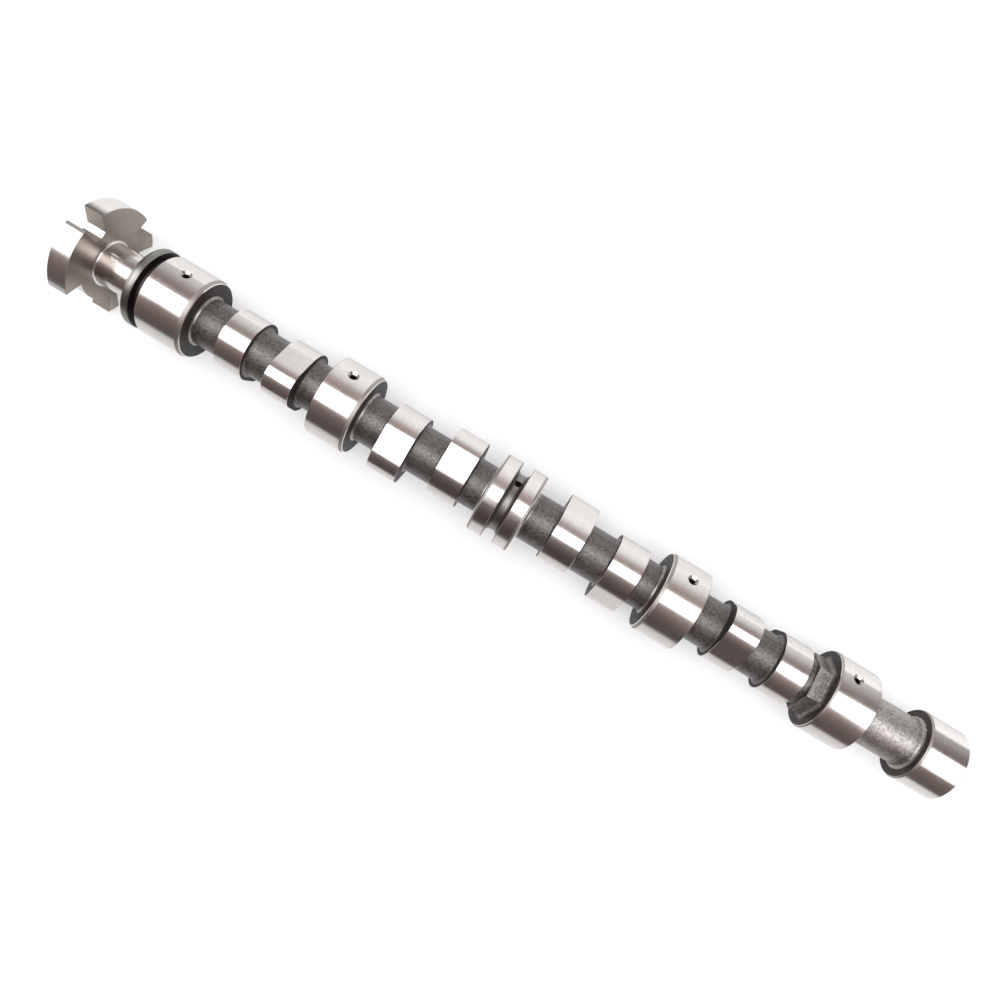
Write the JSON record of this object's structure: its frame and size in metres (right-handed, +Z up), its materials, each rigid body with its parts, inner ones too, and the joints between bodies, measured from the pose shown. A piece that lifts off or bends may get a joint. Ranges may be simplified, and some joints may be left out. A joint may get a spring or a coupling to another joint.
{
  "type": "camshaft",
  "caption": "Cast-iron camshaft with ground tunnel journals and lobe pairs, an oil-fed middle journal, a wrench hexagon, a sprocket nose and a four-vane position wheel.",
  "frame": {"origin": "centre of journal 1, the journal beside the thrust groove, on the shaft's axis", "axes": "+X along the shaft from the vane wheel to the sprocket nose, +Z up as the shaft lies on two vanes and a journal"},
  "size_m": [0.4401, 0.047, 0.047],
  "materials": {
    "cast_iron": "ground on the journals and lobes, turned on the wheel, as cast between"
  },
  "bodies": {
    "root": {"camshaft": "cast_iron"}
  },
  "joints": []
}
